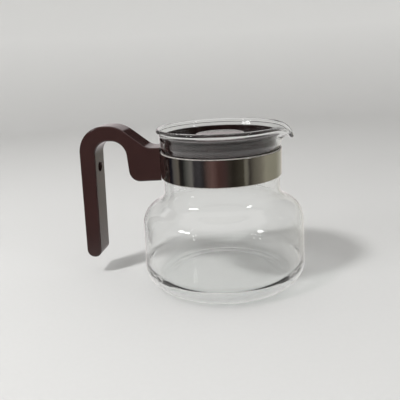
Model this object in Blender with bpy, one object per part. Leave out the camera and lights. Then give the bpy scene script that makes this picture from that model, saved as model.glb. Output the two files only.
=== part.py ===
"""Glass jug of a drip coffee maker: a blown glass body with a pouring lip, a steel band round its
neck, a hooked handle that the band's screw holds, and a lift-out lid with a knob.

Units are metres and +Z is up. The origin is the middle of the jug's flat base, the jug's axis is Z,
the pouring lip points along +X and the handle along -X.
"""

import math

import bmesh
import bpy
from mathutils import Vector

MM = 0.001

# Room left between pieces that touch or pass through each other.
GAP = 0.3 * MM

# Glass body.
BODY_RADIUS = 69.3 * MM
SHOULDER_RADIUS = 67.7 * MM
SHOULDER_HEIGHT = 61.2 * MM
NECK_RADIUS = 48.4 * MM
NECK_FOOT = 72.1 * MM
NECK_TOP = 112.8 * MM
COLLAR_RADIUS = 49.8 * MM
COLLAR_FOOT = 116.5 * MM
COLLAR_TOP = 123.5 * MM
COLLAR_INSIDE_TOP = 120.5 * MM
RIM_RADIUS = 52.2 * MM
RIM_HEIGHT = 130.2 * MM
RIM_THICKNESS = 3.4 * MM
WALL = 2.2 * MM
BASE_THICKNESS = 3.6 * MM
HEEL_ROUNDING = 14.0 * MM
INNER_HEEL_ROUNDING = 16.5 * MM
SHOULDER_ROUNDING = 17.0 * MM
NECK_FILLET = 12.0 * MM
COLLAR_ROUNDING = 6.0 * MM
GLASS_SIDES = 60

# Pouring lip: the wall above LIP_FOOT is bent outwards along LIP_BEND of its height, by LIP_ANGLE in
# the lip's middle and by less to both sides.
LIP_FOOT = 115.5 * MM
LIP_BEND = 10.5 * MM
LIP_ANGLE = math.radians(90)
LIP_SPREAD = math.radians(16)
LEAST_BEND = math.radians(0.1)

# Steel band, its clear liner and the parts that tighten it.
BAND_RADIUS = 50.0 * MM
BAND_THICKNESS = 0.5 * MM
BAND_FOOT = 90.2 * MM
BAND_TOP = 110.9 * MM
LINER_THICKNESS = 0.5 * MM
LINER_LIP = 0.6 * MM
LINER_HALF_GAP = 4.6 * MM
EAR_HALF_GAP = 2.6 * MM
EAR_END = 58.5 * MM
EAR_HOOK = 5.6 * MM
SCREW_HEIGHT = 97.4 * MM
SCREW_RADIUS = 2.0 * MM
SCREW_HEAD_RADIUS = 3.6 * MM
SCREW_HEAD_HEIGHT = 2.6 * MM
SCREW_TIP = 61.0 * MM
SCREW_SEAT = 69.5 * MM
CROSS_ARM = 2.2 * MM
CROSS_HALF_WIDTH = 0.5 * MM
CROSS_DEPTH = 1.3 * MM
WASHER_THICKNESS = 0.8 * MM
WASHER_RADIUS = 4.2 * MM
YOKE_START = 56.3 * MM
YOKE_END = 65.5 * MM
YOKE_HALF_WIDTH = 7.0 * MM
YOKE_HEIGHT = 13.0 * MM
YOKE_PLATE = 1.0 * MM
YOKE_BACK = 2.0 * MM
BAND_STEPS = 84

# Handle.
HANDLE_WIDTH = 21.6 * MM
HANDLE_EDGE = 1.3 * MM
BLOCK_FOOT = 86.8 * MM
BLOCK_FOOT_DROP = 1.0 * MM
BLOCK_TOP = 114.4 * MM
BLOCK_END = 76.3 * MM
BLOCK_ROUNDING = 9.0 * MM
ARCH_TOP = 133.2 * MM
ARCH_RADIUS = 24.0 * MM
ARCH_FLAT_TO_GRIP = 33.6 * MM
SLOPE_ANGLE = math.radians(37.5)
SLOPE_FILLET = 11.0 * MM
FINGER_ARCH_TOP = 120.7 * MM
FINGER_ARCH_RADIUS = 13.1 * MM
GRIP_FOOT = 16.5 * MM
GRIP_SPLAY = 4.9 * MM
GRIP_INSIDE = 104.8 * MM
GRIP_THICKNESS = 13.3 * MM
DRIVER_HOLE_RADIUS = 4.0 * MM
HEAD_RECESS_RADIUS = 4.8 * MM
CAVITY_HALF_WIDTH = 7.6 * MM
CAVITY_END = 66.3 * MM
CAVITY_ROUNDING = 1.0 * MM

# Lid.
LID_FLANGE_RADIUS = 47.6 * MM
LID_TOP = 124.5 * MM
LID_FLANGE_THICKNESS = 1.5 * MM
LID_SKIRT_RADIUS = 45.6 * MM
LID_SKIRT_FOOT = 98.0 * MM
LID_WALL = 1.6 * MM
LID_FLOOR_TOP = 106.0 * MM
LID_FLOOR_THICKNESS = 2.0 * MM
LID_EDGE = 0.5 * MM
LID_FILLET = 2.0 * MM
LID_CONE = 2.2 * MM
LID_HOLE_RADIUS = 5.3 * MM
DRAIN_COUNT = 4
DRAIN_RADIUS = 15.0 * MM
DRAIN_WIDTH = 3.4 * MM
DRAIN_ANGLE = math.radians(46)
DRAIN_STEPS = 8
KNOB_RADIUS = 20.4 * MM
KNOB_TOP = 124.2 * MM
KNOB_THICKNESS = 3.2 * MM
KNOB_CROWN = 0.3 * MM
KNOB_EDGE = 1.2 * MM
KNOB_STEM_RADIUS = 7.0 * MM
KNOB_FOOT_RADIUS = 9.5 * MM
KNOB_BARB_RADIUS = 6.1 * MM
KNOB_BARB_DEPTH = 2.6 * MM
KNOB_SLIT = 1.4 * MM
LID_SIDES = 48

# A full round at the end of a wall is this share of the wall's thickness, which leaves a short flat.
FULL_ROUND = 0.49

# How far an arc's facets may lie inside it, and how far a cut runs past the surfaces that it opens.
ARC_ERROR = 0.15 * MM
CUT_MARGIN = 1.0 * MM


def clear_scene():
    for obj in list(bpy.data.objects):
        bpy.data.objects.remove(obj)


def material(name, color, roughness, metallic=0.0, alpha=1.0, transmission=0.0):
    made = bpy.data.materials.new(name)
    made.use_nodes = True
    shader = made.node_tree.nodes["Principled BSDF"]
    shader.inputs["Base Color"].default_value = (*color, 1.0)
    shader.inputs["Roughness"].default_value = roughness
    shader.inputs["Metallic"].default_value = metallic
    shader.inputs["Alpha"].default_value = alpha
    shader.inputs["Transmission Weight"].default_value = transmission
    made.diffuse_color = (*color, alpha)
    return made


def arc(center, radius, start, end):
    """Points of an arc from one angle to another, both ends included."""
    longest = 2 * math.acos(1 - min(ARC_ERROR / radius, 0.2))
    steps = max(2, math.ceil(abs(end - start) / longest))
    angles = [start + (end - start) * i / steps for i in range(steps + 1)]
    return [(center[0] + radius * math.cos(a), center[1] + radius * math.sin(a)) for a in angles]


def rounded(corners, closed=True):
    """An outline through (x, y, rounding) corners, with an arc of that radius at each rounded one."""
    points = []
    for i, (x, y, radius) in enumerate(corners):
        at_end = not closed and i in (0, len(corners) - 1)
        if radius == 0 or at_end:
            points.append((x, y))
            continue
        before = corners[i - 1]
        after = corners[(i + 1) % len(corners)]
        back = math.atan2(before[1] - y, before[0] - x)
        ahead = math.atan2(after[1] - y, after[0] - x)
        opening = math.remainder(ahead - back, 2 * math.pi)
        half = opening / 2
        reach = radius / math.sin(abs(half))
        middle = back + half
        center = (x + reach * math.cos(middle), y + reach * math.sin(middle))
        turn = math.copysign(math.pi / 2 - abs(half), -half)
        toward_corner = middle + math.pi
        points += arc(center, radius, toward_corner - turn, toward_corner + turn)
    return points


def piece(name, mesh_maker, look=None):
    """An object from a bmesh, with its faces turned outwards."""
    bmesh.ops.recalc_face_normals(mesh_maker, faces=mesh_maker.faces)
    if mesh_maker.calc_volume(signed=True) < 0:
        bmesh.ops.reverse_faces(mesh_maker, faces=mesh_maker.faces)
    mesh = bpy.data.meshes.new(name)
    mesh_maker.to_mesh(mesh)
    mesh_maker.free()
    if look:
        mesh.materials.append(look)
    obj = bpy.data.objects.new(name, mesh)
    bpy.context.scene.collection.objects.link(obj)
    return obj


def smooth(obj, sharp_angle=math.radians(35)):
    obj.data.shade_smooth()
    obj.data.set_sharp_from_angle(angle=sharp_angle)


def turned(profile, sides, closed=True):
    """A bmesh turned round Z from (radius, height) points. An open profile starts and ends on the axis."""
    bm = bmesh.new()
    verts = [bm.verts.new((r, 0, z)) for r, z in profile]
    pairs = list(zip(verts, verts[1:]))
    if closed:
        pairs.append((verts[-1], verts[0]))
    edges = [bm.edges.new(pair) for pair in pairs]
    turn = {"cent": (0, 0, 0), "axis": (0, 0, 1), "angle": 2 * math.pi, "steps": sides}
    bmesh.ops.spin(bm, geom=verts + edges, use_merge=True, **turn)
    bmesh.ops.remove_doubles(bm, verts=bm.verts, dist=1e-7)
    return bm


def extruded(points, push):
    """A bmesh with a flat face through these points, pushed along a vector."""
    bm = bmesh.new()
    face = bm.faces.new([bm.verts.new(point) for point in points])
    pushed = bmesh.ops.extrude_face_region(bm, geom=[face])
    for item in pushed["geom"]:
        if isinstance(item, bmesh.types.BMVert):
            item.co += Vector(push)
    return bm


def upright(outline, low, high):
    """A prism from an outline in plan, between two heights."""
    return extruded([(x, y, low) for x, y in outline], (0, 0, high - low))


def sideways(outline, half_width):
    """A prism from a side view, (distance from the jug's axis towards the handle, height), along Y."""
    return extruded([(-u, -half_width, v) for u, v in outline], (0, 2 * half_width, 0))


def polar(radius, angle):
    return (radius * math.cos(angle), radius * math.sin(angle))


def rod(radius, start, end, sides=24):
    """A cylinder along the screw's line, between two distances from the jug's axis."""
    circle = [polar(radius, 2 * math.pi * i / sides) for i in range(sides)]
    return extruded([(-start, u, SCREW_HEIGHT + v) for u, v in circle], (start - end, 0, 0))


def boolean(obj, other_mesh, operation="DIFFERENCE"):
    """Cuts or joins a helper shape, kept as a live modifier with its wire helper."""
    helper = piece(f"{obj.name}_helper", other_mesh)
    helper.hide_render = True
    helper.display_type = "WIRE"
    modifier = obj.modifiers.new(operation.title(), "BOOLEAN")
    modifier.operation = operation
    modifier.solver = "EXACT"
    modifier.object = helper
    return modifier


def bend_lip(bm):
    """Bends the wall outwards on the +X side into a pouring lip."""
    for vert in bm.verts:
        x, y, z = vert.co
        radius = math.hypot(x, y)
        height = z - LIP_FOOT
        if height <= 0 or radius < NECK_RADIUS / 2:
            continue
        azimuth = math.atan2(y, x)
        angle = LIP_ANGLE * math.exp(-((azimuth / LIP_SPREAD) ** 2))
        if angle < LEAST_BEND:
            continue
        bent = min(height, LIP_BEND)
        straight = height - bent
        turn = angle * bent / LIP_BEND
        bend_radius = LIP_BEND / angle
        offset = radius - NECK_RADIUS
        out = bend_radius * (1 - math.cos(turn)) + straight * math.sin(turn) + offset * math.cos(turn)
        up = bend_radius * math.sin(turn) + straight * math.cos(turn) - offset * math.sin(turn)
        vert.co = (*polar(NECK_RADIUS + out, azimuth), LIP_FOOT + up)


def glass_jug(look):
    bead_rounding = RIM_THICKNESS * FULL_ROUND
    outside = [
        (0, 0, 0),
        (BODY_RADIUS, 0, HEEL_ROUNDING),
        (SHOULDER_RADIUS, SHOULDER_HEIGHT, SHOULDER_ROUNDING),
        (NECK_RADIUS, NECK_FOOT, NECK_FILLET),
        (NECK_RADIUS, NECK_TOP, COLLAR_ROUNDING),
        (COLLAR_RADIUS, COLLAR_FOOT, COLLAR_ROUNDING),
        (COLLAR_RADIUS, COLLAR_TOP, COLLAR_ROUNDING),
        (RIM_RADIUS, RIM_HEIGHT, bead_rounding),
    ]
    inside = [
        (RIM_RADIUS - RIM_THICKNESS, RIM_HEIGHT, bead_rounding),
        (RIM_RADIUS - RIM_THICKNESS, RIM_HEIGHT - RIM_THICKNESS, RIM_THICKNESS),
        (COLLAR_RADIUS - WALL, COLLAR_INSIDE_TOP, COLLAR_ROUNDING),
        (COLLAR_RADIUS - WALL, COLLAR_FOOT, COLLAR_ROUNDING),
        (NECK_RADIUS - WALL, NECK_TOP, COLLAR_ROUNDING),
        (NECK_RADIUS - WALL, NECK_FOOT - WALL / 2, NECK_FILLET + WALL),
        (SHOULDER_RADIUS - WALL, SHOULDER_HEIGHT - WALL / 2, SHOULDER_ROUNDING - WALL),
        (BODY_RADIUS - WALL, BASE_THICKNESS, INNER_HEEL_ROUNDING),
        (0, BASE_THICKNESS, 0),
    ]
    bm = turned(rounded(outside + inside, closed=False), GLASS_SIDES, closed=False)
    bend_lip(bm)
    smooth(piece("glass_jug", bm, look))


def ring_outline(radius, thickness, half_gap, tail=()):
    """A split ring in plan, open towards the handle. tail continues each end as (distance, side) points."""
    start = math.pi - math.asin(half_gap / radius)
    sweep = [start - 2 * start * i / BAND_STEPS for i in range(BAND_STEPS + 1)]
    outer_side = [polar(radius, angle) for angle in sweep]
    inner_side = [polar(radius - thickness, angle) for angle in reversed(sweep)]
    ahead = [(-u, -v) for u, v in tail]
    behind = [(-u, v) for u, v in reversed(tail)]
    return outer_side + ahead + inner_side + behind


def neck_band(look):
    """The strap's ends turn outwards as two ears with hooked ends."""
    side = EAR_HALF_GAP + BAND_THICKNESS
    foot = BAND_RADIUS - BAND_THICKNESS
    hook = EAR_END - BAND_THICKNESS
    ear = [
        (hook, side),
        (hook, EAR_HOOK),
        (EAR_END, EAR_HOOK),
        (EAR_END, EAR_HALF_GAP),
        (foot, EAR_HALF_GAP),
    ]
    outline = ring_outline(BAND_RADIUS, BAND_THICKNESS, side, ear)
    smooth(piece("neck_band", upright(outline, BAND_FOOT, BAND_TOP), look))


def band_liner(look):
    radius = BAND_RADIUS - BAND_THICKNESS - GAP
    outline = ring_outline(radius, LINER_THICKNESS, LINER_HALF_GAP)
    smooth(piece("band_liner", upright(outline, BAND_FOOT - LINER_LIP, BAND_TOP + LINER_LIP), look))


def tension_yoke(look):
    """A channel that hooks both ears of the band and takes the screw's thread."""
    inner_wide = YOKE_HALF_WIDTH - YOKE_PLATE
    mouth = EAR_HALF_GAP + BAND_THICKNESS + GAP
    hook = YOKE_START + YOKE_PLATE
    back = YOKE_END - YOKE_BACK
    outer = [(-YOKE_START, mouth), (-YOKE_START, YOKE_HALF_WIDTH), (-YOKE_END, YOKE_HALF_WIDTH)]
    inner = [(-back, inner_wide), (-hook, inner_wide), (-hook, mouth)]
    outline = outer + [(x, -y) for x, y in reversed(outer)]
    outline += [(x, -y) for x, y in reversed(inner)] + inner
    low = SCREW_HEIGHT - YOKE_HEIGHT / 2
    yoke = piece("tension_yoke", upright(outline, low, low + YOKE_HEIGHT), look)
    boolean(yoke, rod(SCREW_RADIUS + GAP, back - CUT_MARGIN, YOKE_END + CUT_MARGIN))
    smooth(yoke)


def clamp_screw(look):
    """A pan-head screw with a cross recess, along the handle's direction."""
    head_start = SCREW_SEAT + WASHER_THICKNESS + GAP
    head_end = head_start + SCREW_HEAD_HEIGHT
    screw = piece("clamp_screw", rod(SCREW_RADIUS, SCREW_TIP, head_start + GAP), look)
    boolean(screw, rod(SCREW_HEAD_RADIUS, head_start, head_end, 32), "UNION")
    arm = CROSS_ARM
    slot = CROSS_HALF_WIDTH
    cross = [(arm, slot), (slot, slot), (slot, arm), (-slot, arm), (-slot, slot), (-arm, slot)]
    cross += [(-u, -v) for u, v in cross]
    corners = [(-head_end - CUT_MARGIN, u, SCREW_HEIGHT + v) for u, v in cross]
    boolean(screw, extruded(corners, (CROSS_DEPTH + CUT_MARGIN, 0, 0)))
    smooth(screw)


def clamp_washer(look):
    end = SCREW_SEAT + WASHER_THICKNESS
    washer = piece("clamp_washer", rod(WASHER_RADIUS, SCREW_SEAT, end, 32), look)
    boolean(washer, rod(SCREW_RADIUS + GAP, SCREW_SEAT - CUT_MARGIN, end + CUT_MARGIN))
    smooth(washer)


def handle_outline():
    """The handle seen from the side: block at the neck, arch over the fingers, long grip down."""
    inside_foot = GRIP_INSIDE + GRIP_SPLAY
    outside_top = GRIP_INSIDE + GRIP_THICKNESS
    slope_top = outside_top - ARCH_FLAT_TO_GRIP
    slope_foot = slope_top - (ARCH_TOP - BLOCK_TOP) / math.tan(SLOPE_ANGLE)
    finger_arch_start = GRIP_INSIDE - 2 * FINGER_ARCH_RADIUS
    # The block starts inside the band, where the neck's cut then shapes its end.
    start = BAND_RADIUS - 4 * BAND_THICKNESS
    grip_end_rounding = GRIP_THICKNESS * FULL_ROUND
    return rounded(
        [
            (start, BLOCK_FOOT, 0),
            (BLOCK_END, BLOCK_FOOT - BLOCK_FOOT_DROP, BLOCK_ROUNDING),
            (finger_arch_start, FINGER_ARCH_TOP, FINGER_ARCH_RADIUS),
            (GRIP_INSIDE, FINGER_ARCH_TOP, FINGER_ARCH_RADIUS - CUT_MARGIN),
            (inside_foot, GRIP_FOOT, grip_end_rounding),
            (inside_foot + GRIP_THICKNESS, GRIP_FOOT, grip_end_rounding),
            (outside_top, ARCH_TOP, ARCH_RADIUS - CUT_MARGIN),
            (slope_top, ARCH_TOP, ARCH_RADIUS),
            (slope_foot, BLOCK_TOP, SLOPE_FILLET),
            (start, BLOCK_TOP, 0),
        ]
    )


def handle(look):
    made = piece("handle", sideways(handle_outline(), HANDLE_WIDTH / 2), look)
    edges = made.modifiers.new("Edges", "BEVEL")
    edges.width = HANDLE_EDGE
    edges.segments = 3
    edges.limit_method = "ANGLE"
    edges.angle_limit = math.radians(60)
    # The block's end is hollowed to the band's curve.
    neck = BAND_RADIUS + GAP
    boolean(made, turned([(0, ARCH_TOP), (neck, ARCH_TOP), (neck, 0), (0, 0)], 96, closed=False))
    # The cavity for the ears and the yoke.
    low = BAND_FOOT - 2 * GAP
    high = BAND_TOP + 2 * GAP
    cavity = [
        (NECK_RADIUS, low, 0),
        (CAVITY_END, low, CAVITY_ROUNDING),
        (CAVITY_END, high, CAVITY_ROUNDING),
        (NECK_RADIUS, high, 0),
    ]
    boolean(made, sideways(rounded(cavity), CAVITY_HALF_WIDTH))
    # The screw's hole, the recess for its head, and the hole that a screwdriver goes in through.
    grip_outside = GRIP_INSIDE + GRIP_SPLAY + GRIP_THICKNESS
    boolean(made, rod(SCREW_RADIUS + GAP, CAVITY_END - CUT_MARGIN, SCREW_SEAT + CUT_MARGIN))
    boolean(made, rod(HEAD_RECESS_RADIUS, SCREW_SEAT - GAP, BLOCK_END + BLOCK_ROUNDING, 32))
    boolean(made, rod(DRIVER_HOLE_RADIUS, GRIP_INSIDE - CUT_MARGIN, grip_outside + CUT_MARGIN, 32))
    smooth(made)


def lid_dish(look):
    """A dish whose flange rests in the flared rim, with a skirt below its floor and drain slots in it."""
    skirt_inside = LID_SKIRT_RADIUS - LID_WALL
    floor_foot = LID_FLOOR_TOP - LID_FLOOR_THICKNESS
    flange_foot = LID_TOP - LID_FLANGE_THICKNESS
    profile = [
        (LID_FLANGE_RADIUS, LID_TOP, LID_EDGE),
        (LID_FLANGE_RADIUS, flange_foot, LID_EDGE),
        (LID_SKIRT_RADIUS, flange_foot - LID_CONE, LID_FILLET),
        (LID_SKIRT_RADIUS, LID_SKIRT_FOOT, LID_EDGE),
        (skirt_inside, LID_SKIRT_FOOT, LID_EDGE),
        (skirt_inside, floor_foot, LID_EDGE),
        (LID_HOLE_RADIUS, floor_foot, 0),
        (LID_HOLE_RADIUS, LID_FLOOR_TOP, 0),
        (skirt_inside - LID_WALL, LID_FLOOR_TOP, 2 * LID_FILLET),
        (skirt_inside + LID_FLANGE_THICKNESS, LID_TOP, LID_EDGE),
    ]
    dish = piece("lid_dish", turned(rounded(profile), LID_SIDES), look)
    for i in range(DRAIN_COUNT):
        start = math.pi / 4 + 2 * math.pi * i / DRAIN_COUNT - DRAIN_ANGLE / 2
        sweep = [start + DRAIN_ANGLE * j / DRAIN_STEPS for j in range(DRAIN_STEPS + 1)]
        outer = [polar(DRAIN_RADIUS + DRAIN_WIDTH / 2, angle) for angle in sweep]
        inner = [polar(DRAIN_RADIUS - DRAIN_WIDTH / 2, angle) for angle in reversed(sweep)]
        boolean(dish, upright(outer + inner, floor_foot - CUT_MARGIN, LID_FLOOR_TOP + CUT_MARGIN))
    smooth(dish)


def lid_knob(look):
    """A disc on a stem, with a split barb that snaps through the dish's floor."""
    floor_foot = LID_FLOOR_TOP - LID_FLOOR_THICKNESS
    disc_foot = KNOB_TOP - KNOB_THICKNESS
    spigot = LID_HOLE_RADIUS - GAP
    barb_top = floor_foot - GAP
    barb_foot = barb_top - KNOB_BARB_DEPTH
    stem_foot = LID_FLOOR_TOP + GAP
    profile = [
        (0, KNOB_TOP, 0),
        (KNOB_RADIUS, KNOB_TOP - KNOB_CROWN, KNOB_EDGE),
        (KNOB_RADIUS, disc_foot + KNOB_CROWN, KNOB_EDGE),
        (KNOB_STEM_RADIUS, disc_foot, 2 * KNOB_EDGE),
        (KNOB_STEM_RADIUS, stem_foot + KNOB_THICKNESS, 2 * KNOB_EDGE),
        (KNOB_FOOT_RADIUS, stem_foot, 0),
        (spigot, stem_foot, 0),
        (spigot, barb_top, 0),
        (KNOB_BARB_RADIUS, barb_top, 0),
        (KNOB_BARB_RADIUS, barb_top - KNOB_BARB_DEPTH / 3, 0),
        (spigot - KNOB_BARB_DEPTH / 3, barb_foot, 0),
        (0, barb_foot, 0),
    ]
    knob = piece("lid_knob", turned(rounded(profile, closed=False), LID_SIDES, closed=False), look)
    half_slit = KNOB_SLIT / 2
    reach = KNOB_BARB_RADIUS + CUT_MARGIN
    slit = [(-reach, -half_slit), (reach, -half_slit), (reach, half_slit), (-reach, half_slit)]
    boolean(knob, upright(slit, barb_foot - CUT_MARGIN, floor_foot + GAP))
    smooth(knob)


def main():
    clear_scene()
    glass = material("borosilicate_glass", (0.86, 0.90, 0.88), 0.03, alpha=0.3, transmission=1.0)
    clear = material("clear_plastic", (0.86, 0.86, 0.84), 0.25, alpha=0.5, transmission=0.8)
    steel = material("polished_steel", (0.60, 0.59, 0.57), 0.14, metallic=1.0)
    zinc = material("zinc_plated_steel", (0.55, 0.55, 0.56), 0.35, metallic=1.0)
    brown = material("brown_plastic", (0.034, 0.017, 0.016), 0.22)
    glass_jug(glass)
    band_liner(clear)
    neck_band(steel)
    tension_yoke(zinc)
    clamp_screw(zinc)
    clamp_washer(zinc)
    handle(brown)
    lid_dish(brown)
    lid_knob(brown)


main()
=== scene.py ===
"""Looks of a drip coffee maker's glass jug: clear blown glass, polished steel neck band, glossy brown
handle and lift-out lid. Every piece is rebuilt finely where its CAD node lies and rides on its body.

Units are metres, +Z is up, the jug's axis is Z, the pouring lip points along +X, the handle along -X.
"""

import math

import bmesh
import bpy
from mathutils import Matrix, Vector

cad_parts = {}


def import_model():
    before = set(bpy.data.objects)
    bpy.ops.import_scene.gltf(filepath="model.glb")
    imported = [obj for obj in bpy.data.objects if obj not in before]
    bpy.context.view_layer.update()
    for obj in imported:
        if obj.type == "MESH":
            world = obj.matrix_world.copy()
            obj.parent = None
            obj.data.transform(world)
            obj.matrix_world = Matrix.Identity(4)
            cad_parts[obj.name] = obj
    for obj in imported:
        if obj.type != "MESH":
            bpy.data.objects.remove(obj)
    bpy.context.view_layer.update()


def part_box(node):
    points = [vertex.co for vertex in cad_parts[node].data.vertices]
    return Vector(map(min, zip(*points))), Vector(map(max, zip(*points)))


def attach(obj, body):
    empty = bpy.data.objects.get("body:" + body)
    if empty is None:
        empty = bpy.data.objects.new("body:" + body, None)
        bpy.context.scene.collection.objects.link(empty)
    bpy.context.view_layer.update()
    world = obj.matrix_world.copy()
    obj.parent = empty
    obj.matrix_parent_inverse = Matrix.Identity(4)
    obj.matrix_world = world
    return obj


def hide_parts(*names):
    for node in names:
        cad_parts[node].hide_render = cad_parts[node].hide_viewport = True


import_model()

MM = 0.001

# Room between pieces, how far a cut runs past the surface that it opens, and the share of a wall's
# thickness that a full round at its end takes.
GAP = 0.3 * MM
CUT_MARGIN = 1.0 * MM
FULL_ROUND = 0.49

# Places read from the frame.
RIM_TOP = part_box("glass_jug")[1].z
BAND_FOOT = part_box("neck_band")[0].z
BAND_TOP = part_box("neck_band")[1].z
BAND_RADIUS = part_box("neck_band")[1].x
LINER_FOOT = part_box("band_liner")[0].z
LINER_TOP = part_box("band_liner")[1].z
LID_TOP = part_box("lid_dish")[1].z
LID_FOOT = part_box("lid_dish")[0].z
LID_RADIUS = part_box("lid_dish")[1].x
KNOB_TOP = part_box("lid_knob")[1].z
KNOB_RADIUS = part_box("lid_knob")[1].x
HANDLE_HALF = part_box("handle")[1].y
HANDLE_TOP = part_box("handle")[1].z
HANDLE_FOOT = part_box("handle")[0].z
SCREW_HEIGHT = (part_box("clamp_screw")[0].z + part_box("clamp_screw")[1].z) / 2

# Glass: corners of its outline before they are rounded, the fire-polished bead, and the punt, which is
# the shallow hollow in the base. PUNT_FLAT and BEAD_ROUND are shares of the radius they go with.
BODY_RADIUS = 69.3 * MM
HEEL_ROUNDING = 14.0 * MM
INNER_HEEL_ROUNDING = 16.5 * MM
SHOULDER_RADIUS = 67.7 * MM
SHOULDER_HEIGHT = 61.2 * MM
SHOULDER_ROUNDING = 17.0 * MM
INNER_SHOULDER_ROUNDING = 15.0 * MM
NECK_RADIUS = 48.4 * MM
NECK_FOOT = 72.1 * MM
NECK_TOP = 112.8 * MM
NECK_FILLET = 12.0 * MM
INNER_NECK_FILLET = 14.0 * MM
COLLAR_RADIUS = 49.8 * MM
COLLAR_FOOT = 116.5 * MM
COLLAR_TOP = 123.5 * MM
COLLAR_INSIDE_TOP = 120.5 * MM
COLLAR_ROUNDING = 6.0 * MM
COLLAR_TOP_ROUNDING = 5.0 * MM
RIM_RADIUS = 52.2 * MM
BEAD_RADIUS = 1.7 * MM
BEAD_STEP = 1.6 * MM
BEAD_ROUND = 0.98
BEAD_NOTCH_DROP = 0.3 * MM
BEAD_NOTCH_ROUNDING = 0.25 * MM
BEAD_INSIDE_RISE = 0.6 * MM
BEAD_INSIDE_ROUNDING = 0.9 * MM
WALL_TOP_DROP = 0.4 * MM
WALL_TOP_ROUNDING = 1.0 * MM
WALL = 2.2 * MM
BASE_THICKNESS = 3.6 * MM
PUNT_RADIUS = 52.0 * MM
PUNT_DEPTH = 0.7 * MM
PUNT_FLAT = 0.8
PUNT_ROUNDING = 30.0 * MM
PUNT_EDGE = 6.0 * MM
GLASS_SIDES = 192
GLASS_STEP = 4.0 * MM

# Pouring lip: the wall above LIP_FOOT is bent outwards along LIP_BEND of its height, by LIP_ANGLE in
# the lip's middle and by less to both sides.
LIP_FOOT = 115.5 * MM
LIP_BEND = 10.5 * MM
LIP_ANGLE = math.radians(90)
LIP_SPREAD = math.radians(16)
LEAST_BEND = math.radians(0.1)

# Band, liner and clamp.
SHEET = 0.5 * MM
EAR_HALF_GAP = 2.6 * MM
EAR_END = 58.5 * MM
EAR_HOOK = 5.6 * MM
LINER_HALF_GAP = 4.6 * MM
RING_STEPS = 180
ROD_SIDES = 48
FINE_ROD_SIDES = 64
SCREW_RADIUS = 2.0 * MM
SCREW_HEAD_RADIUS = 3.6 * MM
SCREW_HEAD_HEIGHT = 2.6 * MM
SCREW_HEAD_RIM = 1.2 * MM
SCREW_DOME = 1.3 * MM
SCREW_TIP = 61.0 * MM
SCREW_SEAT = 69.5 * MM
SCREW_PITCH = 0.7 * MM
THREAD_DEPTH = 0.3 * MM
SCREW_NECK = 0.4 * MM
SCREW_EDGE = 0.3 * MM
CROSS_ARM = 2.16 * MM
CROSS_HALF_WIDTH = 0.5 * MM
WASHER_RADIUS = 4.2 * MM
WASHER_THICKNESS = 0.8 * MM
YOKE_START = 56.3 * MM
YOKE_END = 65.5 * MM
YOKE_HALF_WIDTH = 7.0 * MM
YOKE_HEIGHT = 13.0 * MM
YOKE_PLATE = 1.0 * MM
YOKE_BACK = 2.0 * MM
YOKE_BEND = 1.2 * MM
YOKE_INNER_BEND = 0.3 * MM

# Handle. Both arches are tighter by ARCH_TIGHTER at their corner on the grip.
HANDLE_EDGE = 1.3 * MM
BLOCK_FOOT = 86.8 * MM
BLOCK_FOOT_DROP = 1.0 * MM
BLOCK_TOP = 114.4 * MM
BLOCK_END = 76.3 * MM
BLOCK_ROUNDING = 9.0 * MM
ARCH_RADIUS = 24.0 * MM
ARCH_TIGHTER = 1.0 * MM
ARCH_FLAT_TO_GRIP = 33.6 * MM
SLOPE_ANGLE = math.radians(37.5)
SLOPE_FILLET = 11.0 * MM
FINGER_ARCH_TOP = 120.7 * MM
FINGER_ARCH_RADIUS = 13.1 * MM
GRIP_INSIDE = 104.8 * MM
GRIP_SPLAY = 4.9 * MM
GRIP_THICKNESS = 13.3 * MM
DRIVER_HOLE_RADIUS = 4.0 * MM
DRIVER_HOLE_BEVEL = 0.5 * MM
HEAD_RECESS_RADIUS = 4.8 * MM
NECK_CUT_SIDES = 256
CAVITY_HALF_WIDTH = 7.6 * MM
CAVITY_END = 66.3 * MM
CAVITY_ROUNDING = 1.0 * MM

# Lid.
FLANGE_THICKNESS = 1.5 * MM
SKIRT_RADIUS = 45.6 * MM
LID_WALL = 1.6 * MM
LID_FLOOR = 106.0 * MM
LID_FLOOR_THICKNESS = 2.0 * MM
LID_EDGE = 0.5 * MM
LID_FILLET = 2.0 * MM
LID_CONE = 2.2 * MM
LID_CEILING_FILLET = 1.0 * MM
LID_FLOOR_FILLET = 4.0 * MM
LID_DISH_STEP = 1.6 * MM
LID_FLANGE_WIDTH = 2.6 * MM
LID_FLANGE_INNER_EDGE = 0.8 * MM
LID_HOLE_RADIUS = 5.3 * MM
DRAIN_COUNT = 4
DRAIN_RADIUS = 15.0 * MM
DRAIN_WIDTH = 3.4 * MM
DRAIN_ANGLE = math.radians(46)
DRAIN_STEPS = 16
KNOB_THICKNESS = 3.2 * MM
KNOB_STEM_RADIUS = 7.0 * MM
KNOB_FOOT_RADIUS = 9.5 * MM
KNOB_BARB_RADIUS = 6.1 * MM
KNOB_BARB_DEPTH = 2.6 * MM
KNOB_BARB_EDGE = 0.8 * MM
KNOB_SLIT = 1.4 * MM
KNOB_SLIT_REACH = 10.0 * MM
KNOB_SLIT_RISE = 0.5 * MM
KNOB_CROWN = 0.3 * MM
KNOB_UNDERCUT = 0.4 * MM
KNOB_EDGE = 1.2 * MM
KNOB_LOWER_EDGE = 1.0 * MM
KNOB_STEM_FILLET = 2.5 * MM
KNOB_FOOT_FILLET = 2.0 * MM
KNOB_FOOT_HEIGHT = 3.0 * MM
KNOB_STEP = 2.5 * MM
LID_SIDES = 160

# How far an arc's facets may lie inside it, the largest share of its radius that this may be, and the
# crease angle above which shading is sharp.
ARC_ERROR = 0.012 * MM
COARSEST_ARC = 0.2
SHARP = math.radians(40)


# ---------------------------------------------------------------- outlines and meshes


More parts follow.
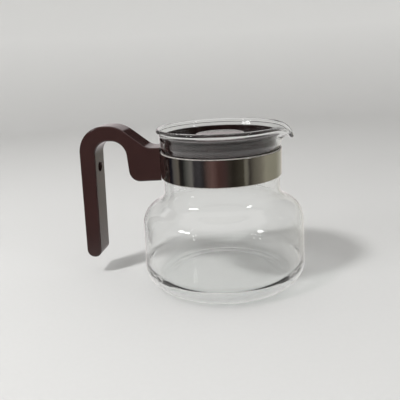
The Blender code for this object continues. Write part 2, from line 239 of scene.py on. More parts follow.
def arc(center, radius, start, end):
    """Points of an arc from one angle to another, both ends included."""
    longest = 2 * math.acos(1 - min(ARC_ERROR / radius, COARSEST_ARC))
    steps = max(3, math.ceil(abs(end - start) / longest))
    angles = [start + (end - start) * i / steps for i in range(steps + 1)]
    return [(center[0] + radius * math.cos(a), center[1] + radius * math.sin(a)) for a in angles]


def rounded(corners, closed=True):
    """An outline through (x, y, rounding) corners, with an arc of that radius at each rounded one."""
    points = []
    for i, (x, y, radius) in enumerate(corners):
        at_end = not closed and i in (0, len(corners) - 1)
        if radius == 0 or at_end:
            points.append((x, y))
            continue
        before = corners[i - 1]
        after = corners[(i + 1) % len(corners)]
        back = math.atan2(before[1] - y, before[0] - x)
        ahead = math.atan2(after[1] - y, after[0] - x)
        half = math.remainder(ahead - back, 2 * math.pi) / 2
        reach = radius / math.sin(abs(half))
        middle = back + half
        center = (x + reach * math.cos(middle), y + reach * math.sin(middle))
        turn = math.copysign(math.pi / 2 - abs(half), -half)
        points += arc(center, radius, middle + math.pi - turn, middle + math.pi + turn)
    return points


def divided(points, longest):
    """The same outline with its long straight stretches divided."""
    made = [points[0]]
    for before, after in zip(points, points[1:]):
        steps = max(1, math.ceil(math.dist(before, after) / longest))
        for i in range(1, steps + 1):
            t = i / steps
            made.append((before[0] + (after[0] - before[0]) * t, before[1] + (after[1] - before[1]) * t))
    return made


def piece(name, bm, look=None):
    """An object from a bmesh, with its faces turned outwards."""
    bmesh.ops.recalc_face_normals(bm, faces=bm.faces)
    if bm.calc_volume(signed=True) < 0:
        bmesh.ops.reverse_faces(bm, faces=bm.faces)
    mesh = bpy.data.meshes.new(name)
    bm.to_mesh(mesh)
    bm.free()
    if look:
        mesh.materials.append(look)
    obj = bpy.data.objects.new(name, mesh)
    bpy.context.scene.collection.objects.link(obj)
    return obj


def turned(profile, sides, closed=True):
    """A bmesh turned round Z from (radius, height) points. An open profile starts and ends on the axis."""
    bm = bmesh.new()
    verts = [bm.verts.new((r, 0, z)) for r, z in profile]
    pairs = list(zip(verts, verts[1:]))
    if closed:
        pairs.append((verts[-1], verts[0]))
    edges = [bm.edges.new(pair) for pair in pairs]
    turn = {"cent": (0, 0, 0), "axis": (0, 0, 1), "angle": 2 * math.pi, "steps": sides}
    bmesh.ops.spin(bm, geom=verts + edges, use_merge=True, **turn)
    bmesh.ops.remove_doubles(bm, verts=bm.verts, dist=1e-7)
    return bm


def extruded(points, push):
    """A bmesh with a flat face through these points, pushed along a vector."""
    bm = bmesh.new()
    face = bm.faces.new([bm.verts.new(point) for point in points])
    pushed = bmesh.ops.extrude_face_region(bm, geom=[face])
    for item in pushed["geom"]:
        if isinstance(item, bmesh.types.BMVert):
            item.co += Vector(push)
    return bm


def upright(outline, low, high):
    """A prism from an outline in plan, between two heights."""
    return extruded([(u, v, low) for u, v in outline], (0, 0, high - low))


def sideways(outline, low, high):
    """A prism from a side view: (distance from the axis towards the handle, height), pushed along Y."""
    return extruded([(-u, low, v) for u, v in outline], (0, high - low, 0))


def polar(radius, angle):
    return (radius * math.cos(angle), radius * math.sin(angle))


def rod(radius, start, end, sides=ROD_SIDES):
    """A cylinder along the screw's line, between two distances from the jug's axis."""
    circle = [polar(radius, 2 * math.pi * i / sides) for i in range(sides)]
    return extruded([(-start, u, SCREW_HEIGHT + v) for u, v in circle], (start - end, 0, 0))


def along_screw(bm):
    """Lays a shape turned round Z along the screw's line: its heights become distances from the axis."""
    for vert in bm.verts:
        vert.co = (-vert.co.z, vert.co.y, SCREW_HEIGHT + vert.co.x)
    return bm


def applied(obj):
    """Turns the object's modifiers into its mesh and drops the helpers they used."""
    helpers = [m.object for m in obj.modifiers if m.type == "BOOLEAN"]
    graph = bpy.context.evaluated_depsgraph_get()
    made = bpy.data.meshes.new_from_object(obj.evaluated_get(graph))
    obj.modifiers.clear()
    obj.data = made
    for helper in helpers:
        bpy.data.objects.remove(helper)
    return obj


def cut(obj, other):
    """Takes a helper shape away from the object."""
    helper = piece(f"{obj.name}_helper", other)
    modifier = obj.modifiers.new("Cut", "BOOLEAN")
    modifier.operation = "DIFFERENCE"
    modifier.solver = "EXACT"
    modifier.object = helper


def bevelled(obj, width, segments, angle=50):
    """Rounds the edges that are sharper than an angle in degrees."""
    modifier = obj.modifiers.new("Edges", "BEVEL")
    modifier.width = width
    modifier.segments = segments
    modifier.limit_method = "ANGLE"
    modifier.angle_limit = math.radians(angle)


def smooth(obj, angle=SHARP, flat_faces=True):
    """Smooth shading with sharp creases. flat_faces keeps flat faces flat beside their rounded edges."""
    obj.data.shade_smooth()
    obj.data.set_sharp_from_angle(angle=angle)
    if flat_faces:
        modifier = obj.modifiers.new("Flat faces", "WEIGHTED_NORMAL")
        modifier.keep_sharp = True
    return obj


def placed(obj, body, slot, *nodes):
    """The piece rides on a body and stands for CAD nodes, which it hides. Its material slot is not used."""
    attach(obj, body)
    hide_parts(*nodes)


# ---------------------------------------------------------------- materials


class Nodes:
    """A node tree: nodes are added by type, and sockets are set or linked by name."""

    def __init__(self, tree):
        self.tree = tree
        self.tree.nodes.clear()

    def add(self, kind, /, **inputs):
        """A shader node with sockets set by name, where _ stands for a space."""
        node = self.tree.nodes.new("ShaderNode" + kind)
        for key, value in inputs.items():
            self.set(node, key.replace("_", " "), value)
        return node

    def set(self, node, socket, value):
        target = node.inputs[socket]
        if isinstance(value, bpy.types.NodeSocket):
            self.tree.links.new(value, target)
        elif isinstance(value, tuple) and len(value) == 3 and target.type == "RGBA":
            target.default_value = (*value, 1)
        else:
            target.default_value = value

    def remap(self, value, low, high, to_low, to_high):
        node = self.add("MapRange", Value=value, From_Min=low, From_Max=high, To_Min=to_low, To_Max=to_high)
        return node.outputs[0]

    def math(self, operation, a, b=0.0):
        node = self.add("Math")
        node.operation = operation
        self.set(node, 0, a)
        self.set(node, 1, b)
        return node.outputs[0]

    def mix(self, factor, a, b):
        """A colour between two colours."""
        node = self.add("Mix")
        node.data_type = "RGBA"
        for socket, value in ((0, factor), (6, a), (7, b)):
            self.set(node, socket, value)
        return node.outputs[2]


class Look(Nodes):
    """A material made of nodes that read object coordinates."""

    def __init__(self, name):
        self.material = bpy.data.materials.new(name)
        self.material.use_nodes = True
        super().__init__(self.material.node_tree)
        self.out = self.add("OutputMaterial")
        self.place = self.add("TexCoord").outputs["Object"]

    def scaled(self, x, y, z):
        """Object coordinates stretched by three factors."""
        return self.add("Mapping", Vector=self.place, Scale=(x, y, z)).outputs[0]

    def noise(self, scale, detail=3.0, roughness=0.5, vector=None):
        node = self.add("TexNoise", Scale=scale, Detail=detail, Roughness=roughness)
        self.set(node, "Vector", vector or self.place)
        return node.outputs["Fac"]

    def bump(self, height, strength, distance, normal=None):
        node = self.add("Bump", Height=height, Strength=strength, Distance=distance)
        if normal:
            self.set(node, "Normal", normal)
        return node.outputs[0]

    def finish(self, shader):
        self.set(self.out, "Surface", shader)
        return self.material


def glass_look():
    """Clear borosilicate: faint smears, slow waves of blown glass, and shadows that let light through."""
    look = Look("borosilicate_glass")
    waves = look.noise(28, 1.0, vector=look.scaled(1, 1, 0.6))
    smears = look.noise(60, 5.0, 0.6)
    rough = look.remap(smears, 0.5, 0.75, 0.0, 0.02)
    normal = look.bump(waves, 0.12, 1.2 * MM)
    glass = look.add("BsdfPrincipled", Base_Color=(0.996, 1.0, 0.997), Roughness=rough, Normal=normal)
    look.set(glass, "Transmission Weight", 1.0)
    look.set(glass, "IOR", 1.47)
    edge = look.add("LayerWeight", Blend=0.35).outputs["Facing"]
    tint = look.mix(edge, (0.995, 0.997, 0.995), (0.86, 0.88, 0.87))
    clear = look.add("BsdfTransparent", Color=tint)
    shadow = look.add("LightPath").outputs["Is Shadow Ray"]
    both = look.add("MixShader", Fac=shadow)
    look.set(both, 1, glass.outputs[0])
    look.set(both, 2, clear.outputs[0])
    return look.finish(both.outputs[0])


def liner_look():
    """Clear plastic strip, slightly yellowed and hazy."""
    look = Look("clear_liner_plastic")
    haze = look.noise(180, 3.0)
    color = look.mix(haze, (0.86, 0.83, 0.80), (0.78, 0.74, 0.69))
    shader = look.add("BsdfPrincipled", Base_Color=color, Roughness=look.remap(haze, 0.3, 0.7, 0.2, 0.4))
    look.set(shader, "Transmission Weight", 0.45)
    look.set(shader, "IOR", 1.49)
    look.set(shader, "Normal", look.bump(haze, 0.1, 0.2 * MM))
    return look.finish(shader.outputs[0])


def band_look():
    """Polished stainless strip: rolled along its length, with finger smears and tiny dents."""
    look = Look("polished_band_steel")
    smears = look.noise(55, 4.0, 0.6, look.scaled(1, 1, 0.7))
    rolled = look.noise(40, 3.0, vector=look.scaled(1, 1, 40))
    dents = look.noise(120, 2.0)
    color = look.mix(smears, (0.56, 0.545, 0.51), (0.68, 0.665, 0.64))
    smeared = look.remap(smears, 0.4, 0.75, 0.02, 0.12)
    brushed = look.remap(rolled, 0.3, 0.7, 0, 0.03)
    rough = look.math("ADD", smeared, brushed)
    normal = look.bump(dents, 0.17, 0.5 * MM)
    normal = look.bump(rolled, 0.03, 0.1 * MM, normal)
    shader = look.add("BsdfPrincipled", Base_Color=color, Metallic=1.0, Roughness=rough, Normal=normal)
    return look.finish(shader.outputs[0])


def plated_look(name, scale):
    """Zinc plated steel, dull and slightly blotched."""
    look = Look(name)
    blotches = look.noise(scale, 4.0, 0.6)
    color = look.mix(blotches, (0.42, 0.42, 0.43), (0.62, 0.61, 0.58))
    rough = look.remap(blotches, 0.3, 0.7, 0.28, 0.5)
    normal = look.bump(look.noise(scale * 6), 0.15, 0.1 * MM)
    shader = look.add("BsdfPrincipled", Base_Color=color, Metallic=1.0, Roughness=rough, Normal=normal)
    return look.finish(shader.outputs[0])


def brown_look(name, base, wear_and_sheen):
    """Glossy moulded brown plastic with fine scuffs and finger grease. Its convex edges are painted slightly
    paler, partly as worn rubbing and partly as a painted sheen.
    """
    look = Look(name)
    flow = look.noise(35, 2.0)
    grease = look.noise(90, 5.0, 0.65)
    scuffs = look.noise(420, 4.0, 0.7, look.scaled(1, 1, 0.12))
    pale = tuple(1.3 * part for part in base)
    body = look.mix(flow, base, pale)
    edge = look.add("NewGeometry").outputs["Pointiness"]
    # Convex edges, found by pointiness and set where grease is, are painted paler: partly worn rubbing,
    # partly a painted sheen along the rounded edges.
    rubbed_edge_and_sheen = look.math("MULTIPLY", look.remap(edge, 0.52, 0.60, 0, 0.5 * wear_and_sheen), grease)
    color = look.mix(rubbed_edge_and_sheen, body, (0.10, 0.065, 0.055))
    greasy = look.remap(grease, 0.4, 0.75, 0.07, 0.2)
    scuffed = look.remap(scuffs, 0.6, 0.8, 0, 0.12 * wear_and_sheen)
    rough = look.math("ADD", greasy, scuffed)
    normal = look.bump(look.noise(22, 1.0), 0.10, 0.8 * MM)
    normal = look.bump(scuffs, 0.02, 0.1 * MM, normal)
    shader = look.add("BsdfPrincipled", Base_Color=color, Roughness=rough, Normal=normal)
    look.set(shader, "IOR", 1.53)
    return look.finish(shader.outputs[0])


# ---------------------------------------------------------------- pieces


def bend_lip(bm):
    """Bends the wall outwards on the +X side into a pouring lip."""
    for vert in bm.verts:
        x, y, z = vert.co
        radius = math.hypot(x, y)
        height = z - LIP_FOOT
        if height <= 0 or radius < NECK_RADIUS / 2:
            continue
        azimuth = math.atan2(y, x)
        angle = LIP_ANGLE * math.exp(-((azimuth / LIP_SPREAD) ** 2))
        if angle < LEAST_BEND:
            continue
        bent = min(height, LIP_BEND)
        straight = height - bent
        turn = angle * bent / LIP_BEND
        bend_radius = LIP_BEND / angle
        offset = radius - NECK_RADIUS
        out = bend_radius * (1 - math.cos(turn)) + straight * math.sin(turn) + offset * math.cos(turn)
        up = bend_radius * math.sin(turn) + straight * math.cos(turn) - offset * math.sin(turn)
        vert.co = (*polar(NECK_RADIUS + out, azimuth), LIP_FOOT + up)


def glass_jug(look):
    """The wall's outside and inside in one outline, from the middle of the base over the bead and back."""
    bead_foot = RIM_TOP - 2 * BEAD_RADIUS
    wall_out = RIM_RADIUS - BEAD_STEP
    wall_in = wall_out - WALL
    bead_in = RIM_RADIUS - 2 * BEAD_RADIUS
    half = BEAD_RADIUS * BEAD_ROUND
    outside = [
        (0, PUNT_DEPTH, 0),
        (PUNT_RADIUS * PUNT_FLAT, PUNT_DEPTH, PUNT_ROUNDING),
        (PUNT_RADIUS, 0, PUNT_EDGE),
        (BODY_RADIUS, 0, HEEL_ROUNDING),
        (SHOULDER_RADIUS, SHOULDER_HEIGHT, SHOULDER_ROUNDING),
        (NECK_RADIUS, NECK_FOOT, NECK_FILLET),
        (NECK_RADIUS, NECK_TOP, COLLAR_ROUNDING),
        (COLLAR_RADIUS, COLLAR_FOOT, COLLAR_ROUNDING),
        (COLLAR_RADIUS, COLLAR_TOP, COLLAR_TOP_ROUNDING),
        (wall_out, bead_foot - BEAD_NOTCH_DROP, BEAD_NOTCH_ROUNDING),
        (RIM_RADIUS, bead_foot, half),
        (RIM_RADIUS, RIM_TOP, half),
    ]
    inside = [
        (bead_in, RIM_TOP, half),
        (bead_in, bead_foot + BEAD_INSIDE_RISE, BEAD_INSIDE_ROUNDING),
        (wall_in, bead_foot - WALL_TOP_DROP, WALL_TOP_ROUNDING),
        (COLLAR_RADIUS - WALL, COLLAR_INSIDE_TOP, COLLAR_ROUNDING),
        (COLLAR_RADIUS - WALL, COLLAR_FOOT, COLLAR_ROUNDING),
        (NECK_RADIUS - WALL, NECK_TOP, COLLAR_ROUNDING),
        (NECK_RADIUS - WALL, NECK_FOOT - WALL / 2, INNER_NECK_FILLET),
        (SHOULDER_RADIUS - WALL, SHOULDER_HEIGHT - WALL / 2, INNER_SHOULDER_ROUNDING),
        (BODY_RADIUS - WALL, BASE_THICKNESS, INNER_HEEL_ROUNDING),
        (0, BASE_THICKNESS, 0),
    ]
    profile = divided(rounded(outside + inside, closed=False), GLASS_STEP)
    bm = turned(profile, GLASS_SIDES, closed=False)
    bend_lip(bm)
    jug = smooth(piece("blown_glass_jug", bm, look), flat_faces=False)
    placed(jug, "jug", "glass", "glass_jug")


def split_ring(radius, thickness, half_gap, tail=()):
    """A split ring in plan, open towards the handle. tail carries each end on as (distance, side)."""
    start = math.pi - math.asin(half_gap / radius)
    sweep = [start - 2 * start * i / RING_STEPS for i in range(RING_STEPS + 1)]
    outer_side = [polar(radius, angle) for angle in sweep]
    inner_side = [polar(radius - thickness, angle) for angle in reversed(sweep)]
    ahead = [(-u, -v) for u, v in tail]
    behind = [(-u, v) for u, v in reversed(tail)]
    return outer_side + ahead + inner_side + behind


def neck_band(look):
    """A strap whose ends turn outwards as two hooked ears."""
    side = EAR_HALF_GAP + SHEET
    hook = EAR_END - SHEET
    foot = BAND_RADIUS - SHEET
    ear = [
        (hook, side),
        (hook, EAR_HOOK),
        (EAR_END, EAR_HOOK),
        (EAR_END, EAR_HALF_GAP),
        (foot, EAR_HALF_GAP),
    ]
    outline = split_ring(BAND_RADIUS, SHEET, side, ear)
    band = piece("steel_neck_band", upright(outline, BAND_FOOT, BAND_TOP), look)
    bevelled(band, width=0.16 * MM, segments=2)
    smooth(applied(band))
    placed(band, "jug", "band_steel", "neck_band")


def band_liner(look):
    """A clear strip under the band, split where the ears are."""
    radius = BAND_RADIUS - SHEET - GAP
    outline = split_ring(radius, SHEET, LINER_HALF_GAP)
    liner = piece("clear_band_liner", upright(outline, LINER_FOOT, LINER_TOP), look)
    bevelled(liner, width=0.18 * MM, segments=2)
    smooth(applied(liner))
    placed(liner, "jug", "clear_plastic", "band_liner")


def tension_yoke(look):
    """A channel that hooks both ears of the band and takes the screw."""
    inner = YOKE_HALF_WIDTH - YOKE_PLATE
    mouth = EAR_HALF_GAP + SHEET + GAP
    hook = YOKE_START + YOKE_PLATE
    half = [
        (-YOKE_START, mouth, 0),
        (-YOKE_START, YOKE_HALF_WIDTH, YOKE_BEND),
        (-YOKE_END, YOKE_HALF_WIDTH, YOKE_BEND),
    ]
    half_inside = [
        (YOKE_BACK - YOKE_END, inner, YOKE_INNER_BEND),
        (-hook, inner, YOKE_INNER_BEND),
        (-hook, mouth, 0),
    ]
    corners = half + [(u, -v, r) for u, v, r in reversed(half)]
    corners += [(u, -v, r) for u, v, r in reversed(half_inside)] + half_inside
    low = SCREW_HEIGHT - YOKE_HEIGHT / 2
    yoke = piece("clamp_yoke", upright(rounded(corners), low, low + YOKE_HEIGHT), look)
    cut(yoke, rod(SCREW_RADIUS + GAP, YOKE_END - YOKE_BACK - GAP, YOKE_END + GAP))
    bevelled(yoke, width=0.15 * MM, segments=1)
    smooth(applied(yoke))
    placed(yoke, "jug", "plated_steel", "tension_yoke")


def clamp_screw(look):
    """Pan-head screw: a threaded shank, a domed head and a cross recess."""
    seat = SCREW_SEAT + WASHER_THICKNESS + GAP
    top = seat + SCREW_HEAD_HEIGHT
    half_pitch = SCREW_PITCH / 2
    root = SCREW_RADIUS - THREAD_DEPTH
    shank = [(0, SCREW_TIP), (root - SCREW_EDGE, SCREW_TIP)]
    turns = int((seat - SCREW_TIP) / SCREW_PITCH) - 1
    for i in range(turns):
        at = SCREW_TIP + SCREW_EDGE + i * SCREW_PITCH
        shank += [(root, at), (SCREW_RADIUS, at + half_pitch)]
    profile = [(r, z, 0) for r, z in shank]
    profile += [
        (root, seat - SCREW_NECK, 0),
        (root, seat, 0),
        (SCREW_HEAD_RADIUS, seat, SCREW_EDGE),
        (SCREW_HEAD_RADIUS, seat + SCREW_HEAD_RIM, 0),
        (SCREW_HEAD_RADIUS, top, SCREW_DOME),
        (0, top, 0),
    ]
    bm = along_screw(turned(rounded(profile, closed=False), ROD_SIDES, closed=False))
    screw = piece("pan_head_screw", bm, look)
    arm = CROSS_ARM
    slot = CROSS_HALF_WIDTH
    cross = [(arm, slot), (slot, slot), (slot, arm), (-slot, arm), (-slot, slot), (-arm, slot)]
    cross += [(-u, -v) for u, v in cross]
    corners = [(-top - GAP, u, SCREW_HEIGHT + v) for u, v in cross]
    cut(screw, extruded(corners, (SCREW_HEAD_HEIGHT / 2, 0, 0)))
    smooth(applied(screw), angle=math.radians(32))
    placed(screw, "jug", "plated_steel", "clamp_screw")


def clamp_washer(look):
    """A flat washer between the screw's head and its seat."""
    disc = rod(WASHER_RADIUS, SCREW_SEAT, SCREW_SEAT + WASHER_THICKNESS, FINE_ROD_SIDES)
    washer = piece("screw_washer", disc, look)
    cut(washer, rod(SCREW_RADIUS + GAP, SCREW_SEAT - GAP, SCREW_SEAT + 2 * WASHER_THICKNESS))
    bevelled(washer, width=0.12 * MM, segments=2)
    smooth(applied(washer))
    placed(washer, "jug", "plated_steel", "clamp_washer")


def handle_outline():
    """The handle seen from the side: block at the neck, arch over the fingers, long grip down."""
    inside_foot = GRIP_INSIDE + GRIP_SPLAY
    outside_top = GRIP_INSIDE + GRIP_THICKNESS
    slope_top = outside_top - ARCH_FLAT_TO_GRIP
    slope_foot = slope_top - (HANDLE_TOP - BLOCK_TOP) / math.tan(SLOPE_ANGLE)
    finger_arch_start = GRIP_INSIDE - 2 * FINGER_ARCH_RADIUS
    # The block starts inside the band's outer face, and the neck's cut then shapes its end.
    start = BAND_RADIUS - 4 * SHEET
    grip_end_rounding = GRIP_THICKNESS * FULL_ROUND
    return rounded(
        [
            (start, BLOCK_FOOT, 0),
            (BLOCK_END, BLOCK_FOOT - BLOCK_FOOT_DROP, BLOCK_ROUNDING),
            (finger_arch_start, FINGER_ARCH_TOP, FINGER_ARCH_RADIUS),
            (GRIP_INSIDE, FINGER_ARCH_TOP, FINGER_ARCH_RADIUS - ARCH_TIGHTER),
            (inside_foot, HANDLE_FOOT, grip_end_rounding),
            (inside_foot + GRIP_THICKNESS, HANDLE_FOOT, grip_end_rounding),
            (outside_top, HANDLE_TOP, ARCH_RADIUS - ARCH_TIGHTER),
            (slope_top, HANDLE_TOP, ARCH_RADIUS),
            (slope_foot, BLOCK_TOP, SLOPE_FILLET),
            (start, BLOCK_TOP, 0),
        ]
    )


def driver_hole():
    """A hole through the grip, in line with the screw, with a small bevel at the inner face."""
    lean = GRIP_SPLAY * (FINGER_ARCH_TOP - SCREW_HEIGHT) / (FINGER_ARCH_TOP - HANDLE_FOOT)
    face = GRIP_INSIDE + lean
    wide = DRIVER_HOLE_RADIUS + DRIVER_HOLE_BEVEL
    end = face + GRIP_THICKNESS + 2 * CUT_MARGIN
    profile = [
        (0, face - CUT_MARGIN),
        (wide + CUT_MARGIN, face - CUT_MARGIN),
        (wide, face),
        (DRIVER_HOLE_RADIUS, face + DRIVER_HOLE_BEVEL),
        (DRIVER_HOLE_RADIUS, end),
        (0, end),
    ]
    return along_screw(turned(profile, FINE_ROD_SIDES, closed=False))


def handle(look):
    """One moulding: hollow at the neck for the clamp, with the screw's seat and the screwdriver's hole."""
    made = piece("moulded_handle", sideways(handle_outline(), -HANDLE_HALF, HANDLE_HALF), look)
    bevelled(made, width=HANDLE_EDGE, segments=5, angle=60)
    neck = [(0, HANDLE_TOP), (BAND_RADIUS + GAP, HANDLE_TOP), (BAND_RADIUS + GAP, 0), (0, 0)]
    cut(made, turned(neck, NECK_CUT_SIDES, closed=False))
    low = BAND_FOOT - 2 * GAP
    high = BAND_TOP + 2 * GAP
    cavity = [
        (NECK_RADIUS, low, 0),
        (CAVITY_END, low, CAVITY_ROUNDING),
        (CAVITY_END, high, CAVITY_ROUNDING),
        (NECK_RADIUS, high, 0),
    ]
    cut(made, sideways(rounded(cavity), -CAVITY_HALF_WIDTH, CAVITY_HALF_WIDTH))
    cut(made, rod(SCREW_RADIUS + GAP, CAVITY_END - CUT_MARGIN, SCREW_SEAT + CUT_MARGIN))
    cut(made, rod(HEAD_RECESS_RADIUS, SCREW_SEAT - GAP, BLOCK_END + BLOCK_ROUNDING))
    cut(made, driver_hole())
    smooth(applied(made), angle=math.radians(30))
    placed(made, "jug", "brown_plastic", "handle")


def lid_dish(look):
    """A dish with a flange round its top, a deep skirt and drain slots in its floor."""
    skirt_inside = SKIRT_RADIUS - LID_WALL
    floor_foot = LID_FLOOR - LID_FLOOR_THICKNESS
    flange_foot = LID_TOP - FLANGE_THICKNESS
    profile = [
        (LID_RADIUS, LID_TOP, LID_EDGE),
        (LID_RADIUS, flange_foot, LID_EDGE),
        (SKIRT_RADIUS, flange_foot - LID_CONE, LID_FILLET),
        (SKIRT_RADIUS, LID_FOOT, LID_EDGE),
        (skirt_inside, LID_FOOT, LID_EDGE),
        (skirt_inside, floor_foot, LID_CEILING_FILLET),
        (LID_HOLE_RADIUS, floor_foot, 0),
        (LID_HOLE_RADIUS, LID_FLOOR, 0),
        (skirt_inside - LID_DISH_STEP, LID_FLOOR, LID_FLOOR_FILLET),
        (LID_RADIUS - LID_FLANGE_WIDTH, LID_TOP, LID_FLANGE_INNER_EDGE),
    ]
    dish = piece("moulded_lid_dish", turned(rounded(profile), LID_SIDES), look)
    for i in range(DRAIN_COUNT):
        start = math.pi / 4 + 2 * math.pi * i / DRAIN_COUNT - DRAIN_ANGLE / 2
        sweep = [start + DRAIN_ANGLE * j / DRAIN_STEPS for j in range(DRAIN_STEPS + 1)]
        outer = [polar(DRAIN_RADIUS + DRAIN_WIDTH / 2, angle) for angle in sweep]
        inner = [polar(DRAIN_RADIUS - DRAIN_WIDTH / 2, angle) for angle in reversed(sweep)]
        cut(dish, upright(outer + inner, floor_foot - CUT_MARGIN, LID_FLOOR + CUT_MARGIN))
    smooth(applied(dish), angle=math.radians(35))
    placed(dish, "lid", "brown_plastic", "lid_dish")


def lid_knob(look):
    """A disc on a stem, with a split barb that snaps through the dish's floor."""
    floor_foot = LID_FLOOR - LID_FLOOR_THICKNESS
    disc_foot = KNOB_TOP - KNOB_THICKNESS
    spigot = LID_HOLE_RADIUS - GAP
    barb_top = floor_foot - GAP
    barb_foot = barb_top - KNOB_BARB_DEPTH
    stem_foot = LID_FLOOR + GAP
    profile = [
        (0, KNOB_TOP, 0),
        (KNOB_RADIUS, KNOB_TOP - KNOB_CROWN, KNOB_EDGE),
        (KNOB_RADIUS, disc_foot + KNOB_UNDERCUT, KNOB_LOWER_EDGE),
        (KNOB_STEM_RADIUS, disc_foot, KNOB_STEM_FILLET),
        (KNOB_STEM_RADIUS, stem_foot + KNOB_FOOT_HEIGHT, KNOB_FOOT_FILLET),
        (KNOB_FOOT_RADIUS, stem_foot, 0),
        (spigot, stem_foot, 0),
        (spigot, barb_top, 0),
        (KNOB_BARB_RADIUS, barb_top, 0),
        (KNOB_BARB_RADIUS, barb_top - KNOB_BARB_EDGE, 0),
        (spigot - KNOB_BARB_EDGE, barb_foot, 0),
        (0, barb_foot, 0),
    ]
    outline = divided(rounded(profile, closed=False), KNOB_STEP)
    knob = piece("moulded_lid_knob", turned(outline, LID_SIDES, closed=False), look)
    half = KNOB_SLIT / 2
    reach = KNOB_SLIT_REACH
    slit = [(-reach, -half), (reach, -half), (reach, half), (-reach, half)]
    cut(knob, upright(slit, barb_foot - CUT_MARGIN, floor_foot + KNOB_SLIT_RISE))
    smooth(applied(knob))
    placed(knob, "lid", "brown_plastic", "lid_knob")


# ---------------------------------------------------------------- stage, light and camera


COVE_RADIUS = 1.1
COVE_BEND = 0.7
COVE_HEIGHT = 2.0
COVE_GAP = 0.1 * MM
COVE_STEPS = 24
COVE_SIDES = 96
PAPER_RISE = 0.3


def cove():
    """A pale floor that curves up into a plain backdrop all round. Its paper gets paler up to PAPER_RISE."""
    bm = bmesh.new()
    bend = [polar(COVE_BEND, -math.pi / 2 + math.pi / 2 * i / COVE_STEPS) for i in range(COVE_STEPS + 1)]
    profile = [(0, -COVE_GAP)] + [(COVE_RADIUS + u, COVE_BEND - COVE_GAP + v) for u, v in bend]
    profile.append((COVE_RADIUS + COVE_BEND, COVE_HEIGHT))
    verts = [bm.verts.new((r, 0, z)) for r, z in profile]
    edges = [bm.edges.new(pair) for pair in zip(verts, verts[1:])]
    turn = {"cent": (0, 0, 0), "axis": (0, 0, 1), "angle": 2 * math.pi, "steps": COVE_SIDES}
    bmesh.ops.spin(bm, geom=verts + edges, use_merge=True, **turn)
    bmesh.ops.remove_doubles(bm, verts=bm.verts, dist=1e-6)
    bmesh.ops.recalc_face_normals(bm, faces=bm.faces)
    mesh = bpy.data.meshes.new("studio_cove")
    bm.to_mesh(mesh)
    bm.free()
    mesh.shade_smooth()
    look = Look("pale_cove_paper")
    grain = look.noise(300, 2.0)
    floor = look.mix(grain, (0.63, 0.628, 0.620), (0.65, 0.648, 0.640))
    wall = look.mix(grain, (0.85, 0.85, 0.84), (0.87, 0.87, 0.86))
    height = look.add("SeparateXYZ", Vector=look.place).outputs["Z"]
    color = look.mix(look.remap(height, 0.0, PAPER_RISE, 0.0, 1.0), floor, wall)
    shader = look.add("BsdfPrincipled", Base_Color=color, Roughness=0.9)
    look.set(shader, "Specular IOR Level", 0.1)
    mesh.materials.append(look.finish(shader.outputs[0]))
    obj = bpy.data.objects.new("studio_cove", mesh)
    bpy.context.scene.collection.objects.link(obj)
    obj.visible_glossy = False


STUDIO_LIGHT = (0.68, 0.675, 0.668)
ROOM_TABLE = (0.80, 0.77, 0.76)
ROOM_SHADE = (0.02, 0.015, 0.015)
ROOM_CEILING = (1.0, 0.97, 0.95)

# What glossy surfaces mirror all round the horizon: degrees from the camera's side towards +X, and colour.
ROOM = (
    (-180, (0.80, 0.74, 0.74)),
    (-156, (0.80, 0.74, 0.74)),
    (-140, (0.045, 0.040, 0.035)),
    (-126, (0.070, 0.060, 0.052)),
    (-119, (0.020, 0.016, 0.015)),
    (-98, (0.012, 0.011, 0.016)),
    (-93, (0.110, 0.105, 0.100)),
    (-80, (0.150, 0.135, 0.115)),
    (-76, (0.022, 0.019, 0.018)),
    (-69, (0.016, 0.016, 0.016)),
    (-61, (0.090, 0.092, 0.085)),
    (-50, (0.190, 0.185, 0.175)),
    (-44, (0.045, 0.042, 0.046)),
    (-34, (0.055, 0.053, 0.058)),
    (-26, (0.030, 0.026, 0.026)),
    (-18, (0.110, 0.070, 0.062)),
    (-9, (0.150, 0.090, 0.083)),
    (2, (0.080, 0.042, 0.038)),
    (13, (0.066, 0.038, 0.036)),
    (21, (0.045, 0.036, 0.030)),
    (29, (0.026, 0.022, 0.017)),
    (48, (0.062, 0.055, 0.042)),
    (51, (0.200, 0.190, 0.155)),
    (55, (0.190, 0.180, 0.150)),
    (60, (0.050, 0.043, 0.038)),
    (70, (0.145, 0.135, 0.110)),
    (84, (0.210, 0.195, 0.160)),
    (97, (0.340, 0.325, 0.260)),
    (130, (0.320, 0.310, 0.245)),
    (158, (0.560, 0.545, 0.480)),
    (180, (0.80, 0.74, 0.74)),
)


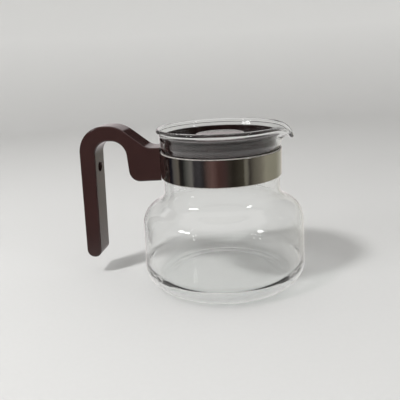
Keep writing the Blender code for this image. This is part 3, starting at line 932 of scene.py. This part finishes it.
def world():
    """Even pale light. Mirror-like surfaces see a plain room instead: pale behind, darker in front."""
    made = bpy.data.worlds.new("studio")
    bpy.context.scene.world = made
    made.use_nodes = True
    nodes = Nodes(made.node_tree)
    place = nodes.add("TexCoord").outputs["Generated"]
    split = nodes.add("SeparateXYZ", Vector=place)
    backwards = nodes.math("MULTIPLY", split.outputs["Y"], -1.0)
    azimuth = nodes.math("ARCTAN2", split.outputs["X"], backwards)
    turn = nodes.math("ADD", nodes.math("DIVIDE", azimuth, 2 * math.pi), 0.5)
    ramp = nodes.add("ValToRGB", Fac=turn)
    stops = ramp.color_ramp.elements
    while len(stops) < len(ROOM):
        stops.new(0.5)
    for stop, (degrees, color) in zip(stops, ROOM):
        stop.position = degrees / 360 + 0.5
        stop.color = (*color, 1)

    def faded(low, high, along="Z"):
        """Rises smoothly from 0 to 1 as a direction's part along an axis goes from low to high."""
        node = nodes.add("MapRange", Value=split.outputs[along], From_Min=low, From_Max=high)
        node.interpolation_type = "SMOOTHSTEP"
        return node.outputs[0]

    room = nodes.mix(faded(-0.44, -0.30), ROOM_TABLE, ramp.outputs[0])
    # Above the pale wall it is dark. Behind on the left the wall is higher.
    high_wall = nodes.math("MULTIPLY", faded(0.6, 0.8, "Y"), faded(0.02, -0.03, "X"))
    low_wall = nodes.math("SUBTRACT", 1.0, high_wall)
    room = nodes.mix(nodes.math("MULTIPLY", faded(0.21, 0.25), low_wall), room, ROOM_SHADE)
    room = nodes.mix(faded(0.36, 0.42), room, ROOM_SHADE)
    room = nodes.mix(faded(0.72, 0.85), room, ROOM_CEILING)
    # Light that has come through glass is not a mirror's.
    path = nodes.add("LightPath")
    straight = nodes.math("SUBTRACT", 1.0, path.outputs["Is Transmission Ray"])
    mirrored = nodes.math("MULTIPLY", path.outputs["Is Glossy Ray"], straight)
    shader = nodes.add("Background", Color=nodes.mix(mirrored, STUDIO_LIGHT, room))
    nodes.set(nodes.add("OutputWorld"), "Surface", shader.outputs[0])


LAMP_TARGET = (0, 0, 0.05)


def lamp(name, place, size, power):
    """A rectangular lamp that points at the jug's lower half."""
    data = bpy.data.lights.new(name, "AREA")
    data.shape = "RECTANGLE"
    data.size, data.size_y = size
    data.energy = power
    obj = bpy.data.objects.new(name, data)
    obj.location = place
    obj.rotation_mode = "QUATERNION"
    obj.rotation_quaternion = (Vector(LAMP_TARGET) - Vector(place)).to_track_quat("-Z", "Y")
    bpy.context.scene.collection.objects.link(obj)
    return obj


def lamps():
    """A key lamp that casts the jug's shadow but is not mirrored, and two windows that are."""
    key = lamp("key", place=(-0.62, -0.50, 1.13), size=(0.16, 0.16), power=10.0)
    key.visible_glossy = False
    key.visible_transmission = False
    lamp("window", place=(-0.85, -0.62, 0.72), size=(0.36, 0.16), power=2.2)
    lamp("far_window", place=(0.80, -0.45, 0.55), size=(0.14, 0.2), power=0.9)


def light_paths():
    """Enough bounces for light to get through every wall of the glass, and plain colours."""
    scene = bpy.context.scene
    scene.view_settings.view_transform = "Standard"
    scene.cycles.max_bounces = 32
    scene.cycles.transmission_bounces = 32
    scene.cycles.glossy_bounces = 16
    scene.cycles.transparent_max_bounces = 32


def camera():
    """Close and slightly above, turned a little to the left and slightly rolled, as if held by hand."""
    data = bpy.data.cameras.new("camera")
    data.lens = 42.2
    data.sensor_width = 36
    data.clip_start = 0.01
    obj = bpy.data.objects.new("camera", data)
    bpy.context.scene.collection.objects.link(obj)
    bpy.context.scene.camera = obj
    distance = 383.9 * MM
    around = math.radians(7)
    heading = math.radians(-9.85)
    pitch = math.radians(-16.2)
    roll = math.radians(-2.99)
    place = Vector((distance * math.sin(around), -distance * math.cos(around), 179 * MM))
    flat = math.cos(pitch)
    forward = Vector((math.sin(heading) * flat, math.cos(heading) * flat, math.sin(pitch)))
    level = Vector((math.cos(heading), -math.sin(heading), 0))
    upward = level.cross(forward)
    right = level * math.cos(roll) + upward * math.sin(roll)
    up = upward * math.cos(roll) - level * math.sin(roll)
    turn = Matrix((right, up, -forward)).transposed()
    obj.matrix_world = Matrix.Translation(place) @ turn.to_4x4()


def main():
    camera()
    plated = plated_look("zinc_plated_clamp", scale=300)
    glass_jug(glass_look())
    band_liner(liner_look())
    neck_band(band_look())
    tension_yoke(plated)
    clamp_screw(plated)
    clamp_washer(plated)
    handle(brown_look("brown_handle_plastic", base=(0.033, 0.0155, 0.0145), wear_and_sheen=0.8))
    # The lid takes the same brown plastic painted darker than the handle's and the knob's: painted shade for
    # the dish's shaded hollow.
    lid_dish(brown_look("brown_lid_plastic_painted_shade", base=(0.010, 0.0045, 0.0042), wear_and_sheen=0.4))
    lid_knob(brown_look("brown_knob_plastic", base=(0.026, 0.012, 0.0115), wear_and_sheen=0.6))
    cove()
    world()
    lamps()
    light_paths()


main()
